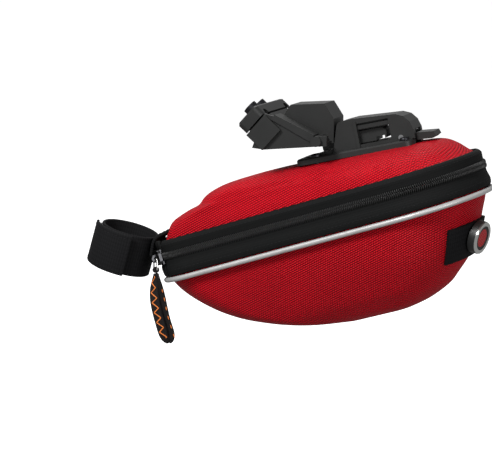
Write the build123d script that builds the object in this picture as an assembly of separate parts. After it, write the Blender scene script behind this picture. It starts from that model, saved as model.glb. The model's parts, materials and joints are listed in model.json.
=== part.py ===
from build123d import *
import math
import os

# Wedge-shaped saddle bag on a quick-release rail bracket, in millimetres.
# Row frame: +X to the rear of the bicycle, +Y to its right, +Z up, origin midway
# between the two saddle rails at the middle of the clamp.
# Bag frame: origin at the nose on the zip line, u to the rear along the zip line,
# Y across, h square to the zip plane.
# Mount frame: origin at the front of the base plate on the lid, p to the rear
# along the plate, Y across, q square to the plate.

# Placing of the three frames
BAG_NOSE = (-66.0, 0.0, -82.5)      # nose of the zip line in the row frame
BAG_TILT = 17.5                     # zip line rises to the rear, degrees
PAD_TILT = 5.65                     # flat pad on the lid falls to the rear, bag frame
PAD_FRONT_U = 101.3                 # u of the front of the base plate
PAD_HEIGHT = 28.8                   # h of the pad at u = 100

# Bag body
NOSE_CENTRE = 24.0                  # u of the nose arc's centre, shared by all layers
SEAM_GAP = 0.15                     # half the gap between lid and lower shell
SKIN = 0.8                          # woven nylon outside
FOAM = 4.0                          # moulded foam sheet
LINING = 0.6                        # knitted lining
BAND_TOP = 7.5                      # upper edge of the zip band above the zip line
BAND_BOTTOM = -12.4                 # lower edge of the zip band
BAND_R_NOSE = 24.0                  # plan radius of the band's outside at the nose
BAND_REAR = 201.0                   # rearmost point of the band
BAND_R_REAR = 44.5
NOSE_COVER_ANGLE = 45.0             # the band is one piece within this angle of the nose
COIL_R = 0.8                        # half the height of one row of zip coil
PIPING_R = 1.9
PIPING_LEVEL = -14.6
SHELL_HINGE = (0.0, -13.0)          # u, h of the lower shell's fabric hinge

# Seatpost and strap
POST_R = 15.45                      # 30.9 mm seatpost
POST_LEAN = 15.9                    # post leans rearward going up, degrees
POST_CENTRE = (-22.8, 3.5)          # x, z from the nose at the strap's middle
STRAP_WIDTH = 25.0
STRAP_THICK = 2.0

# Saddle rails
RAIL_R = 3.5
RAIL_Y = 22.0
RAIL_SLOPE = 48.0
CLAMP_LENGTH = 16.0
JAW_GAP = 0.6                       # each jaw stops short of the rails' middle plane
JAW_TOP = 7.5
BOLT_R = 2.5
BOLT_Y = 9.0
NUT_TOP = -9.0

# Mount
PLATE_LENGTH = 68.0
PLATE_HALF_WIDTH = 18.5
PLATE_THICK = 3.5
HOUSING_FRONT = 20.5
HOUSING_REAR = 69.0
HOUSING_HALF_WIDTH = 12.0
HOUSING_TOP = 20.5
CAVITY_HALF_WIDTH = 8.6
CAVITY_LOW = 5.3
CAVITY_HIGH = 13.4
TONGUE_HALF_WIDTH = 8.2
TONGUE_LOW = 5.9
TONGUE_HIGH = 12.8
TONGUE_END = 52.5
WINDOW_FRONT = 37.0
WINDOW_REAR = 55.5
PIN_AT = (61.0, 5.2)                # p, q of the release lever's pin
PIN_R = 1.5
SCREW_AT = [(11.0, 15.3), (63.5, 15.3)]
SCREW_R = 1.6

# Zip slider and pull
SLIDER_ANGLE = 36.0                 # parked this far round the nose, left side
STOP_ANGLE = 18.0                   # metal stops at the ends of the coil
SLIDER_HALF = 5.2
SLIDER_RISE = 3.0

BAG = Location(BAG_NOSE, (0, -BAG_TILT, 0))
PAD_FRONT_H = PAD_HEIGHT - (PAD_FRONT_U - 100) * math.tan(math.radians(PAD_TILT))
MOUNT = BAG * Location((PAD_FRONT_U, 0, PAD_FRONT_H), (0, PAD_TILT, 0))
RAIL = Location((0, 0, 0), (0, -RAIL_SLOPE, 0))
POST = Location(
    (BAG_NOSE[0] + POST_CENTRE[0], 0, BAG_NOSE[2] + POST_CENTRE[1]), (0, POST_LEAN, 0)
)


def box(x, y, z):
    """Block between pairs of x, y and z limits."""
    middle = [(a + b) / 2 for a, b in (x, y, z)]
    return Pos(*middle) * Box(x[1] - x[0], y[1] - y[0], z[1] - z[0])


def bar(start, end, radius):
    """Round bar between two points."""
    a, b = Vector(*start), Vector(*end)
    return extrude(Plane(origin=a, z_dir=b - a) * Circle(radius), (b - a).length)


def prism(points, half_width):
    """Outline in x and z, drawn out across the bag to both sides."""
    face = Plane.XZ * make_face(Polyline(*points, close=True))
    return extrude(face, half_width, both=True)


def egg(front, rear, r_front, r_rear):
    """Plan outline: a small arc at the nose, a large one behind, straight sides."""
    c1, c2 = front + r_front, rear - r_rear
    sine = (r_rear - r_front) / (c2 - c1)
    cosine = math.sqrt(1 - sine * sine)
    near = (c1 - r_front * sine, -r_front * cosine)
    near_rear = (c2 - r_rear * sine, -r_rear * cosine)
    far, far_rear = (near[0], -near[1]), (near_rear[0], -near_rear[1])
    edges = [
        Line(near, near_rear),
        ThreePointArc(near_rear, (rear, 0), far_rear),
        Line(far_rear, far),
        ThreePointArc(far, (front, 0), near),
    ]
    return make_face(edges)


# Levels of the lid and of the lower shell, from the zip line outwards: height at
# u = 100, fall to the rear in degrees, front, rear, nose radius, rear radius, then
# how much of a layer's inset goes sideways and how much of it lowers the level.
LID_LEVELS = [
    (0.0, 0.0, 2.0, 199.0, 22.0, 43.0, 1.0, 0.0),
    (8.5, 0.8, 5.5, 197.0, 21.5, 41.5, 1.0, 0.15),
    (16.0, 2.6, 15.0, 193.5, 22.0, 38.0, 0.9, 0.4),
    (23.2, 4.6, 36.0, 187.5, 22.0, 31.0, 0.6, 0.8),
    (PAD_HEIGHT, PAD_TILT, 72.0, 178.0, 17.0, 22.0, 0.3, 1.0),
]
LOWER_LEVELS = [
    (0.0, 0.0, 2.0, 199.0, 22.0, 43.0, 1.0, 0.0),
    (-14.0, 0.0, 3.2, 197.5, 21.0, 42.5, 1.0, 0.1),
    (-28.0, 0.0, 12.0, 193.0, 21.0, 40.0, 0.9, 0.25),
    (-42.0, 0.0, 27.5, 185.0, 21.0, 36.0, 0.8, 0.45),
    (-54.0, 0.0, 49.0, 173.0, 19.0, 29.0, 0.65, 0.65),
    (-63.0, 0.0, 77.0, 157.0, 14.0, 20.0, 0.5, 0.85),
    (-68.3, 0.0, 104.0, 138.0, 8.0, 11.0, 0.3, 1.0),
]


def hull(levels, inset):
    """Solid inside one layer of a half shell, inset from the outside of the cloth."""
    sign = 1 if levels[-1][0] > 0 else -1
    sections = []
    for height, fall, front, rear, r_nose, r_rear, side, down in levels:
        d = inset * side
        drop = sign * inset * down
        slope = math.radians(fall)
        origin = (0, 0, height - drop + 100 * math.tan(slope))
        plane = Plane(
            origin=origin,
            x_dir=(math.cos(slope), 0, -math.sin(slope)),
            z_dir=(math.sin(slope), 0, math.cos(slope)),
        )
        sections.append(plane * egg(front + d, rear - d, r_nose - d, r_rear - d))
    return loft(sections)


def layer(levels, inset, thick):
    """One layer of a half shell, open at the zip line."""
    solid = hull(levels, inset) - hull(levels, inset + thick)
    return solid - box((-50, 250), (-80, 80), (-SEAM_GAP, SEAM_GAP))


def band_ring(low, high, out=0.0, thick=4.0):
    """Ring that follows the zip band's outside between two heights."""
    outside = egg(-out, BAND_REAR + out, BAND_R_NOSE + out, BAND_R_REAR + out)
    d = out - thick
    inside = egg(-d, BAND_REAR + d, BAND_R_NOSE + d, BAND_R_REAR + d)
    return Pos(0, 0, low) * extrude(outside - inside, high - low)


def nose_sector(angle, reach=60.0):
    """Wedge round the nose, within an angle each side of its tip."""
    rad = math.radians(angle)
    corner = (-reach * math.cos(rad), reach * math.sin(rad))
    points = [(0, 0), corner, (-reach * 2, 0), (corner[0], -corner[1])]
    face = make_face(Polyline(*points, close=True))
    return Pos(NOSE_CENTRE, 0, -100) * extrude(face, 200)


def screw_holes(radius, low, high):
    """Four cylinders at the plate's screw places, in the mount frame."""
    holes = []
    for p, y in SCREW_AT:
        for side in (-1, 1):
            holes.append(bar((p, side * y, low), (p, side * y, high), radius))
    return holes


def to_bag(shape):
    """Mount-frame shape in the bag frame."""
    return BAG.inverse() * MOUNT * shape


# ---------------------------------------------------------------- bag shells
def lid_parts():
    """Skin, foam and lining of the lid, with the plate's screw holes."""
    holes = [to_bag(h) for h in screw_holes(SCREW_R + 0.1, -12, 4)]
    parts = {}
    inset = 0.0
    for name, thick in (("skin", SKIN), ("foam", FOAM), ("lining", LINING)):
        parts["lid_" + name] = layer(LID_LEVELS, inset, thick) - holes
        inset += thick
    return parts


def lower_parts():
    """Skin, foam and lining of the lower shell."""
    parts = {}
    inset = 0.0
    for name, thick in (("skin", SKIN), ("foam", FOAM), ("lining", LINING)):
        parts["shell_" + name] = layer(LOWER_LEVELS, inset, thick)
        inset += thick
    return parts


def zip_band():
    """Zip tapes, the unsplit cover at the nose, and the two rows of coil."""
    lid, lower = hull(LID_LEVELS, 0), hull(LOWER_LEVELS, 0)
    wedge = nose_sector(NOSE_COVER_ANGLE)
    wide_wedge = nose_sector(NOSE_COVER_ANGLE + 0.8)
    upper = band_ring(SEAM_GAP, BAND_TOP) - lid
    lower_tape = band_ring(BAND_BOTTOM, -SEAM_GAP, thick=4.5) - lower
    skirt = band_ring(BAND_BOTTOM, SEAM_GAP, thick=1.4) - hull(LOWER_LEVELS, -0.35)
    cover = (upper & wedge) + (skirt & wedge)
    coil_top = band_ring(SEAM_GAP, 2 * COIL_R, out=1.0, thick=1.0)
    coil_low = band_ring(-2 * COIL_R, -SEAM_GAP, out=1.0, thick=1.0)
    end = nose_sector(STOP_ANGLE - 3)
    cover_coil = band_ring(-2 * COIL_R, SEAM_GAP, out=1.0, thick=1.0) & wedge
    return {
        "upper_zip_tape": upper - wedge,
        "lower_zip_tape": lower_tape - wide_wedge,
        "nose_cover": cover,
        "upper_zip_coil": (coil_top - end) + (cover_coil - end),
        "lower_zip_coil": coil_low - wide_wedge,
    }


def zip_stops():
    """Metal stops crimped over the coil at both ends of the zip."""
    stop = box((0, 2.2), (-1.3, 1.3), (-2.6, 2.6)) - box((-1, 1.15), (-2, 2), (-1.7, 1.7))
    stops = []
    for side in (-1, 1):
        place = Pos(NOSE_CENTRE, 0, 0) * Rot(0, 0, 180 - side * STOP_ANGLE)
        stops.append(place * Pos(BAND_R_NOSE, 0, 0) * stop)
    return stops


def piping():
    """Reflective piping under the zip band, a round cord in a cloth wrap."""
    path = egg(-0.3, BAND_REAR + 0.2, BAND_R_NOSE + 0.3, BAND_R_REAR + 0.2)
    wire = Pos(0, 0, PIPING_LEVEL) * path.wires()[0]
    start = wire @ 0.1
    along = wire % 0.1
    tube = sweep(Plane(origin=start, z_dir=along) * Circle(PIPING_R), path=wire)
    tail = band_ring(PIPING_LEVEL - 1.0, PIPING_LEVEL + 1.0, out=0, thick=7)
    return tube + (tail - tube) - hull(LOWER_LEVELS, 0)


def lining_patch(levels, thick, u, y, h):
    """Sheet that lies on the inside of a half shell's lining, within a block."""
    inset = SKIN + FOAM + LINING
    return (hull(levels, inset) - hull(levels, inset + thick)) & box(u, y, h)


def nose_hinge():
    """Cloth hinge inside the nose, its half on the lower shell's lining."""
    return lining_patch(LOWER_LEVELS, 0.8, (0, 20), (-10, 10), (SHELL_HINGE[1] - 3, -0.3))


# ---------------------------------------------------------------- rear loop
LOOP_THICK = 2.0
LOOP_HEIGHTS = (-46.5, -28.5)
REFLECTOR_AT = (18.0, -37.5, 29.0)  # plan angle, h, and how far it faces down
REFLECTOR_R = 9.5


def reflector_place():
    """Middle of the reflector on the light loop, z outwards."""
    angle, height, down = REFLECTOR_AT
    radius, rear = 37.6, 188.0
    turn = Pos(rear - radius, 0, height) * Rot(0, 0, -angle)
    return turn * Pos(radius + LOOP_THICK, 0, 0) * Rot(0, 90 + down, 0)


def light_loop_parts():
    """Webbing across the rear of the lower shell, with its round reflector."""
    shell = hull(LOWER_LEVELS, 0)
    outside = hull(LOWER_LEVELS, -LOOP_THICK)
    place = reflector_place()
    rivet = place * Pos(0, 0, -6) * extrude(Circle(2.0), 7.6) - shell
    loop = (outside - shell) & box((166, 260), (-80, 80), LOOP_HEIGHTS)
    base = place * Pos(0, 0, -3) * extrude(Circle(REFLECTOR_R), 6.0) - outside
    recess = place * Pos(0, 0, 1.6) * extrude(Circle(7.0), 5)
    return {
        "light_loop": loop - rivet,
        "reflector_rivet": rivet,
        "reflector_base": base - recess - rivet,
        "reflector_ring": place * Pos(0, 0, 3.0) * extrude(Circle(9.2) - Circle(7.0), 1.0),
        "reflector_lens": place * Pos(0, 0, 1.6) * extrude(Circle(6.9), 2.0),
    }


# ---------------------------------------------------------------- seatpost strap
def strap():
    """Hook-and-loop strap round the seatpost, its two facing patches and nose tab."""
    low, high = -STRAP_WIDTH / 2, STRAP_WIDTH / 2
    inner = POST_R + 0.05
    ring = Pos(0, 0, low) * extrude(Circle(inner + STRAP_THICK) - Circle(inner), high - low)
    front = post_wedge(200, 285)
    lap_in = inner + STRAP_THICK
    loops = Pos(0, 0, low + 1) * extrude(Circle(lap_in + 0.8) - Circle(lap_in), 23)
    hooks = Pos(0, 0, low + 1) * extrude(Circle(lap_in + 1.6) - Circle(lap_in + 0.8), 23)
    tail = Pos(0, 0, low) * extrude(Circle(lap_in + 3.4) - Circle(lap_in + 1.6), 25)
    return {
        "seatpost_strap": ring,
        "strap_loop_patch": loops & front,
        "strap_hook_patch": hooks & front,
        "strap_tail": tail & post_wedge(196, 292),
    }


def post_wedge(start, end, reach=60.0):
    """Wedge between two plan angles round the post."""
    middle = math.radians((start + end) / 2)
    half = math.radians((end - start) / 2)
    points = [(0, 0)]
    for step in (-1, -0.5, 0, 0.5, 1):
        turn = middle + half * step
        points.append((reach * math.cos(turn), reach * math.sin(turn)))
    return Pos(0, 0, -50) * extrude(make_face(Polyline(*points, close=True)), 100)


def strap_tab():
    """Webbing tab from the lid's nose down to the strap, stitched over it."""
    outside = [(9.5, 18.4), (4.5, 15.6), (-0.6, 13.0), (-3.2, 9.5), (-4.2, 5.0), (-4.9, 0.5)]
    inside = [(-2.9, 0.5), (-2.2, 5.0), (-1.4, 8.6), (0.6, 11.2), (5.2, 13.6), (12.5, 16.8)]
    flat = prism(outside + inside, 10)
    nose = Pos(BAG_NOSE[0], 0, BAG_NOSE[2]) * flat
    band = BAG * band_ring(-20, BAND_TOP, out=0.02, thick=9)
    wrapped = POST * Cylinder(POST_R + 0.05 + STRAP_THICK, 90)
    return nose - BAG * hull(LID_LEVELS, 0) - band - wrapped


# ---------------------------------------------------------------- slider and pull
def slider_frame():
    """Bag-frame place on the band: x outwards, y along it from the nose, z up."""
    return Pos(NOSE_CENTRE, 0, 0) * Rot(0, 0, 180 + SLIDER_ANGLE) * Pos(BAND_R_NOSE, 0, 0)


def slider():
    """Die-cast slider over the coil, with the bridge that holds the pull."""
    plate = box((1.3, SLIDER_RISE), (-SLIDER_HALF, SLIDER_HALF), (-4.4, 4.4))
    plate = fillet(plate.edges().filter_by(Axis.X), 2.4)
    flanges = box((0.35, 1.4), (-SLIDER_HALF + 1.5, SLIDER_HALF - 1.5), (-4.4, 4.4))
    flanges -= box((0, 2), (-10, 10), (-2.6, 2.6))
    bridge = Rot(90, 0, 0) * Cylinder(2.4, 2.6) - Rot(90, 0, 0) * Cylinder(1.2, 4)
    bridge = (Pos(SLIDER_RISE + 1.0, 0, 0) * bridge) & box((SLIDER_RISE, 9), (-3, 3), (-5, 5))
    # the curve of the band is kept clear all along the slider's underside
    track = Pos(-BAND_R_NOSE, 0, 0) * Cylinder(BAND_R_NOSE + 0.3, 20)
    coil = Pos(-BAND_R_NOSE, 0, 0) * Cylinder(BAND_R_NOSE + 1.25, 4.6)
    return {
        "slider_body": slider_frame() * (plate + flanges - track - coil),
        "slider_bridge": slider_frame() * bridge,
    }


def pull_frame():
    """Row-frame pivot of the pull and its axis along the band."""
    place = BAG * slider_frame() * Pos(SLIDER_RISE + 1.0, 0, 0)
    pivot = place.position
    along = (place * Pos(0, -1, 0)).position - pivot
    down = Vector(0, 0, -1)
    down = (down - along * down.dot(along)).normalized()
    return pivot, along, down


PULL_WIRE = 0.6
PULL_HALF = 3.4
PULL_DROP = 6.5
LACE_R = 1.5


def pull_ring():
    """Wire link: its top bar turns in the bridge, its lower bar carries the lace."""
    pivot, along, down = pull_frame()
    corners = [
        pivot - along * PULL_HALF,
        pivot + along * PULL_HALF,
        pivot + along * PULL_HALF + down * PULL_DROP,
        pivot - along * PULL_HALF + down * PULL_DROP,
    ]
    wire = FilletPolyline(*corners, close=True, radius=1.2)
    section = Plane(origin=wire @ 0, z_dir=wire % 0) * Circle(PULL_WIRE)
    return sweep(section, path=wire)


def lace_points():
    """Route of the lace: down from the link, round the fold, and back up."""
    pivot, along, down = pull_frame()
    out = down.cross(along)
    if out.dot(Vector(-1, 0, 0)) < 0:
        out = out * -1
    top = pivot + down * (PULL_DROP + PULL_WIRE + LACE_R + 0.05)
    offsets = [
        (-2.0, 0.0, 0.0),
        (-2.6, 0.9, -8.0),
        (-3.0, 0.8, -18.0),
        (-2.6, -0.6, -29.0),
        (-2.9, -3.2, -40.0),
        (2.9, -3.4, -40.5),
        (2.5, -1.0, -29.5),
        (3.0, 0.4, -18.5),
        (2.6, 0.7, -8.5),
        (2.0, 0.0, 0.0),
    ]
    return [top + along * a + out * o + Vector(0, 0, z) for a, o, z in offsets]


def arc_radii(points):
    """Arc at each corner: 0.45 of the shorter run over the tangent of half the turn."""
    radii = []
    for before, here, after in zip(points, points[1:], points[2:]):
        run_in, run_out = here - before, after - here
        turn = math.radians(run_in.get_angle(run_out))
        radii.append(0.45 * min(run_in.length, run_out.length) / math.tan(turn / 2))
    return radii


def pull_lace():
    """Limp woven lace folded into a loop."""
    points = lace_points()
    radii = arc_radii(points)
    path = FilletPolyline(*points, radius=radii)
    section = Plane(origin=path @ 0, z_dir=path % 0) * Circle(LACE_R)
    tube = sweep(section, path=path)
    print("lace length", round(path.length, 1), "radii", [round(r, 1) for r in radii])
    print("lace volume share", round(tube.volume / (math.pi * LACE_R**2 * path.length), 3))
    return tube


# ---------------------------------------------------------------- mount on the lid
def base_plate():
    """Plate on the lid with its ramp, slotted for the release lever."""
    corner = 5.0
    half = PLATE_HALF_WIDTH
    plate = box((-1, PLATE_LENGTH), (-half, half), (0, PLATE_THICK))
    plate = fillet(plate.edges().filter_by(Axis.Z), corner)
    plate = chamfer(plate.faces().sort_by(Axis.Z)[-1].edges(), 0.8)
    ramp = prism([(2, 3.4), (14, 4.9), (20.4, 5.2), (20.4, 3.4)], 11)
    slot = box((44, PLATE_LENGTH + 1), (-7.4, 7.4), (-1, PLATE_THICK + 1))
    return plate + ramp - slot - screw_holes(SCREW_R + 0.1, -2, 8)


def mount_housing():
    """Block on the plate that takes the bracket's tongue, with a window each side."""
    half, low, top = HOUSING_HALF_WIDTH, PLATE_THICK, HOUSING_TOP
    outline = [
        (HOUSING_FRONT, low), (26.0, top - 0.4), (34.0, top + 0.2), (60.0, top - 1.6),
        (64.5, top - 3.6), (67.6, top - 7.4), (HOUSING_REAR, top - 12.0), (HOUSING_REAR, low),
    ]
    block = prism(outline, half)
    block = fillet(block.edges().filter_by(Axis.Y).sort_by(Axis.Z)[-3:], 2.5)
    inner = CAVITY_HALF_WIDTH
    cavity = box((10, 56), (-inner, inner), (CAVITY_LOW, CAVITY_HIGH))
    window = box((WINDOW_FRONT, WINDOW_REAR), (-half - 1, half + 1), (CAVITY_LOW, 17.4))
    core = box((10, 58), (-inner, inner), (CAVITY_HIGH, 18))
    rail = box((36, 56), (-half + 0.9, half - 0.9), (14.0, 16.2))
    arm = box((40, HOUSING_REAR + 1), (-7.4, 7.4), (low - 1, 8.4))
    block = block - cavity - (window - core) + rail - arm
    ridge = box((35.2, 36.9), (-half - 0.8, half + 0.8), (low, 18.6))
    pin_hole = bar((PIN_AT[0], -half - 2, PIN_AT[1]), (PIN_AT[0], half + 2, PIN_AT[1]), PIN_R)
    return block + (ridge - box((30, 40), (-half, half), (0, 30))) - pin_hole


def release_lever():
    """Lever under the tongue: hook in front, thumb tab behind, turning on the pin."""
    half = 7.0
    arm = box((47.0, 66.0), (-half, half), (2.9, 5.0))
    hook = prism([(46.5, 2.9), (46.5, 5.6), (49.6, 5.6), (50.5, 5.0), (50.5, 2.9)], half)
    knuckle = Pos(PIN_AT[0], 0, PIN_AT[1]) * Rot(90, 0, 0) * Cylinder(2.9, 2 * half)
    tab = prism([(63, 2.6), (63, 5.6), (70, 6.2), (79.4, 5.2), (80.2, 2.6), (78, 1.4)], 8.5)
    tab -= box((60, 69.3), (-9, -half), (0, 9)) + box((60, 69.3), (half, 9), (0, 9))
    bore = bar((PIN_AT[0], -20, PIN_AT[1]), (PIN_AT[0], 20, PIN_AT[1]), PIN_R + 0.05)
    return arm + hook + knuckle + tab - bore


def lever_pin():
    """Steel pin that the release lever turns on."""
    half = HOUSING_HALF_WIDTH
    return bar((PIN_AT[0], -half, PIN_AT[1]), (PIN_AT[0], half, PIN_AT[1]), PIN_R)


def lever_spring():
    """Leaf spring in the housing that pushes the tab arm down again."""
    return box((63.2, 68.6), (-3, 3), (7.7, 8.0)) + box((63.2, 64.2), (-3, 3), (7.7, 8.4))


def backing_plate():
    """Plastic plate inside the lid that the screws pull against."""
    inner = -(SKIN + FOAM + LINING)
    inner -= 0.25
    plate = box((4, 70), (-17.4, 17.4), (inner - 2.0, inner))
    plate = fillet(plate.edges().filter_by(Axis.Z), 4)
    ribs = [box((8, 66), (y - 0.8, y + 0.8), (inner - 3.4, inner - 2.0)) for y in (-7, 0, 7)]
    return plate + ribs - screw_holes(SCREW_R + 0.1, -20, 2)


def screws():
    """Four dome-head screws from the plate down through the lid."""
    bottom = -(SKIN + FOAM + LINING) - 5.4
    group = []
    for p, y in SCREW_AT:
        for side in (-1, 1):
            shank = bar((p, side * y, bottom), (p, side * y, PLATE_THICK + 0.01), SCREW_R)
            dome = Pos(p, side * y, PLATE_THICK) * extrude(Circle(2.9), 1.8)
            dome = fillet(dome.edges().sort_by(Axis.Z)[-1:], 1.2)
            socket = Pos(p, side * y, PLATE_THICK + 0.9) * extrude(RegularPolygon(1.3, 6), 2)
            group.append(shank + dome - socket)
    return group


def screw_nuts():
    """Flanged nuts on the screws under the backing plate."""
    top = -(SKIN + FOAM + LINING) - 2.25
    group = []
    for p, y in SCREW_AT:
        for side in (-1, 1):
            nut = Pos(p, side * y, top - 2.6) * extrude(RegularPolygon(3.4, 6), 2.6)
            group.append(nut - bar((p, side * y, top - 9), (p, side * y, top + 1), SCREW_R))
    return group


# ---------------------------------------------------------------- rail bracket
def bracket_body():
    """Moulded bracket: rail saddles, gussets, hub and the tongue for the housing."""
    saddle = box((-CLAMP_LENGTH / 2, CLAMP_LENGTH / 2), (-31, 31), (-13, -JAW_GAP))
    saddle = RAIL * saddle
    side = [(-2.1, -13.7), (5.0, -14.5), (42, -11.5), (43.5, -5.5), (32.7, -6.9), (11, 4.5), (5, 6)]
    legs = prism(side, 29)
    legs -= box((-60, 80), (-24.5, 24.5), (-60, 60))
    rib = prism([(9.0, 3.0), (11.4, 5.6), (34.4, -5.4), (32.4, -9.4)], 30)
    rib -= box((-60, 80), (-17.5, 17.5), (-60, 60))
    web = box((4, 40), (-29, 29), (-13.6, -9.8)) & prism(
        [(4, -14.4), (42, -11.5), (42, -8.5), (4, -11.4)], 29
    )
    hub = prism([(3, -12), (12, 3.5), (16, 10), (36, 11.2), (42.6, 1.0), (43.0, -11.4)], 12)
    barrel = Pos(35.5, 0, -9) * Rot(90, 0, 0) * Cylinder(3.0, 62)
    body = saddle + legs + rib + web + hub + barrel
    tongue = box((14, TONGUE_END), (-TONGUE_HALF_WIDTH, TONGUE_HALF_WIDTH), (TONGUE_LOW, TONGUE_HIGH))
    tongue = fillet(tongue.edges().filter_by(Axis.Y).sort_by(Axis.X)[-2:], 3.0)
    notch = box((46.2, 51.2), (-20, 20), (TONGUE_LOW - 1, 8.1))
    clear = box((HOUSING_FRONT - 5.5, 90), (-40, 40), (-10, 40)) & prism(
        [(19.6, -1), (26.4, 30), (90, 30), (90, -1)], 40
    )
    ramp_room = box((-6, 24), (-40, 40), (-10, TONGUE_LOW))
    neck = box((12, 26), (-TONGUE_HALF_WIDTH, TONGUE_HALF_WIDTH), (8.2, TONGUE_HIGH))
    tongue = (tongue - ramp_room - notch) + neck
    body = body - MOUNT * (clear + ramp_room) + MOUNT * tongue
    return body - [RAIL * cut for cut in rail_cuts() + rail_reliefs() + bolt_pockets()]


def rail_reliefs():
    """Room round each rail behind the clamp, so that only the clamp's length grips it."""
    start = CLAMP_LENGTH / 2
    return [bar((start, y, 0), (30, y, 0), RAIL_R + 1.5) for y in (-RAIL_Y, RAIL_Y)]


def rail_cuts():
    """Both rails and both bolt holes, in the clamp's frame."""
    rails = [bar((-30, y, 0), (30, y, 0), RAIL_R) for y in (-RAIL_Y, RAIL_Y)]
    bolts = [bar((0, y, -40), (0, y, 20), BOLT_R + 0.2) for y in (-BOLT_Y, BOLT_Y)]
    return rails + bolts


def bolt_pockets():
    """Hexagonal pockets for the nuts, open below."""
    pocket = extrude(RegularPolygon(4.7, 6), 31.0)
    return [Pos(0, y, NUT_TOP - 31.0) * pocket for y in (-BOLT_Y, BOLT_Y)]


def clamp_plate():
    """Upper jaw across both rails."""
    plate = box((-CLAMP_LENGTH / 2, CLAMP_LENGTH / 2), (-30, 30), (JAW_GAP, JAW_TOP))
    plate = fillet(plate.edges().filter_by(Axis.Z), 3)
    plate = chamfer(plate.faces().sort_by(Axis.Z)[-1].edges(), 1.2)
    for cut in rail_cuts():
        plate = plate - cut
    return RAIL * plate


def clamp_bolts():
    """Two M5 socket-head bolts through the jaws."""
    group = []
    for y in (-BOLT_Y, BOLT_Y):
        shank = bar((0, y, -16), (0, y, JAW_TOP), BOLT_R)
        head = Pos(0, y, JAW_TOP) * extrude(Circle(4.25), 5)
        socket = Pos(0, y, JAW_TOP + 2.2) * extrude(RegularPolygon(2.3, 6), 4)
        group.append(RAIL * (shank + head - socket))
    return group


def clamp_nuts():
    """Nuts in the bracket's hexagonal pockets."""
    group = []
    for y in (-BOLT_Y, BOLT_Y):
        nut = Pos(0, y, NUT_TOP - 4.0) * extrude(RegularPolygon(4.6, 6), 4.0)
        group.append(RAIL * (nut - bar((0, y, -30), (0, y, 0), BOLT_R + 0.05)))
    return group


def lid_pocket():
    """Mesh pocket on the lid's lining, in front of the backing plate."""
    return lining_patch(LID_LEVELS, 0.8, (44, 98), (-24, 24), (0, 40))


def tool_elastic():
    """Elastic band round the inside of the lower shell, to hold a tool."""
    return lining_patch(LOWER_LEVELS, 1.0, (120, 138), (-60, 60), (-80, -22))


def write(name, shape):
    """One STEP file for one node."""
    if isinstance(shape, (list, ShapeList)):
        shape = Compound(children=list(shape))
    export_step(shape, "parts/" + name + ".step")


def build():
    """All nodes by name, in the row frame."""
    nodes = {}
    for group in (lid_parts(), lower_parts(), zip_band(), light_loop_parts(), slider()):
        for name, shape in group.items():
            nodes[name] = BAG * shape
    nodes["zip_stops"] = [BAG * stop for stop in zip_stops()]
    for name, make in (
        ("reflective_piping", piping), ("nose_hinge", nose_hinge),
        ("lid_pocket", lid_pocket), ("tool_elastic", tool_elastic),
    ):
        nodes[name] = BAG * make()
    for name, shape in strap().items():
        nodes[name] = POST * shape
    nodes["strap_tab"] = strap_tab()
    nodes["pull_ring"] = pull_ring()
    nodes["pull_lace"] = pull_lace()
    for name, make in (
        ("base_plate", base_plate), ("mount_housing", mount_housing),
        ("release_lever", release_lever), ("lever_pin", lever_pin),
        ("lever_spring", lever_spring), ("backing_plate", backing_plate),
    ):
        nodes[name] = MOUNT * make()
    nodes["plate_screws"] = [MOUNT * screw for screw in screws()]
    nodes["screw_nuts"] = [MOUNT * nut for nut in screw_nuts()]
    nodes["rail_bracket"] = bracket_body()
    nodes["clamp_plate"] = clamp_plate()
    nodes["clamp_bolts"] = clamp_bolts()
    nodes["clamp_nuts"] = clamp_nuts()
    return nodes


os.makedirs("parts", exist_ok=True)
for node, solid in build().items():
    write(node, solid)
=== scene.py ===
# %% [markdown]
# # A wedge-shaped saddle bag on a quick-release bracket
# A saddle bag like this is two moulded half shells that close with a zip round their waist.
# The CAD frame gives every body, joint and size. This script dresses that frame: cloth, tape,
# piping, webbing, a lace pull and moulded plastic, each in the place that the frame gives it.

# %% Load the frame
import json
import math
import bmesh
import bpy
import numpy as np
from mathutils import Matrix, Vector


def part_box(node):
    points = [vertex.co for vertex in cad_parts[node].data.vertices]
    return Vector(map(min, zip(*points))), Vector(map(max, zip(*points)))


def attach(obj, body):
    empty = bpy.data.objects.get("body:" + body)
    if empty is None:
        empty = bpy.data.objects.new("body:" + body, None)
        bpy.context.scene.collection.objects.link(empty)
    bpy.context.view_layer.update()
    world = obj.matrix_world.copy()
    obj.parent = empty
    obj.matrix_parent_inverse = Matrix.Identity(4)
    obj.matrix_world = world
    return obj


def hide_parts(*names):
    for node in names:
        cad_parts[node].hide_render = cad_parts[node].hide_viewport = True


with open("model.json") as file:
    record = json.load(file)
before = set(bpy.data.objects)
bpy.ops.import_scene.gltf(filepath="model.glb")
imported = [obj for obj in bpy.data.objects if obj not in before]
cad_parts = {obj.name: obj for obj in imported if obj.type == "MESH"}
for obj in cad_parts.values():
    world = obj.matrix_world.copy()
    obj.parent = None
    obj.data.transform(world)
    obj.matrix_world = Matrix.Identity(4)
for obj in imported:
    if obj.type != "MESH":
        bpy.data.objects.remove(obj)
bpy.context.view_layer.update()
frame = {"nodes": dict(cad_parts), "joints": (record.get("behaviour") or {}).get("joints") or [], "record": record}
scene = bpy.context.scene
MM = 0.001

# %% [markdown]
# The bag is tilted in its frame, so it is easier to shape in axes of its own: u runs to the
# rear along the zip, w runs across, h stands square to the zip. The zip slider's joint turns
# about h through the middle of the nose's arc, and that gives the whole set of axes.

# %% The bag's own axes
joints = {j["name"]: j for j in frame["joints"]}
mounts = {m["name"]: m for m in frame["record"]["mounts"]}
NOSE_ARC = 24.0


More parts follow.
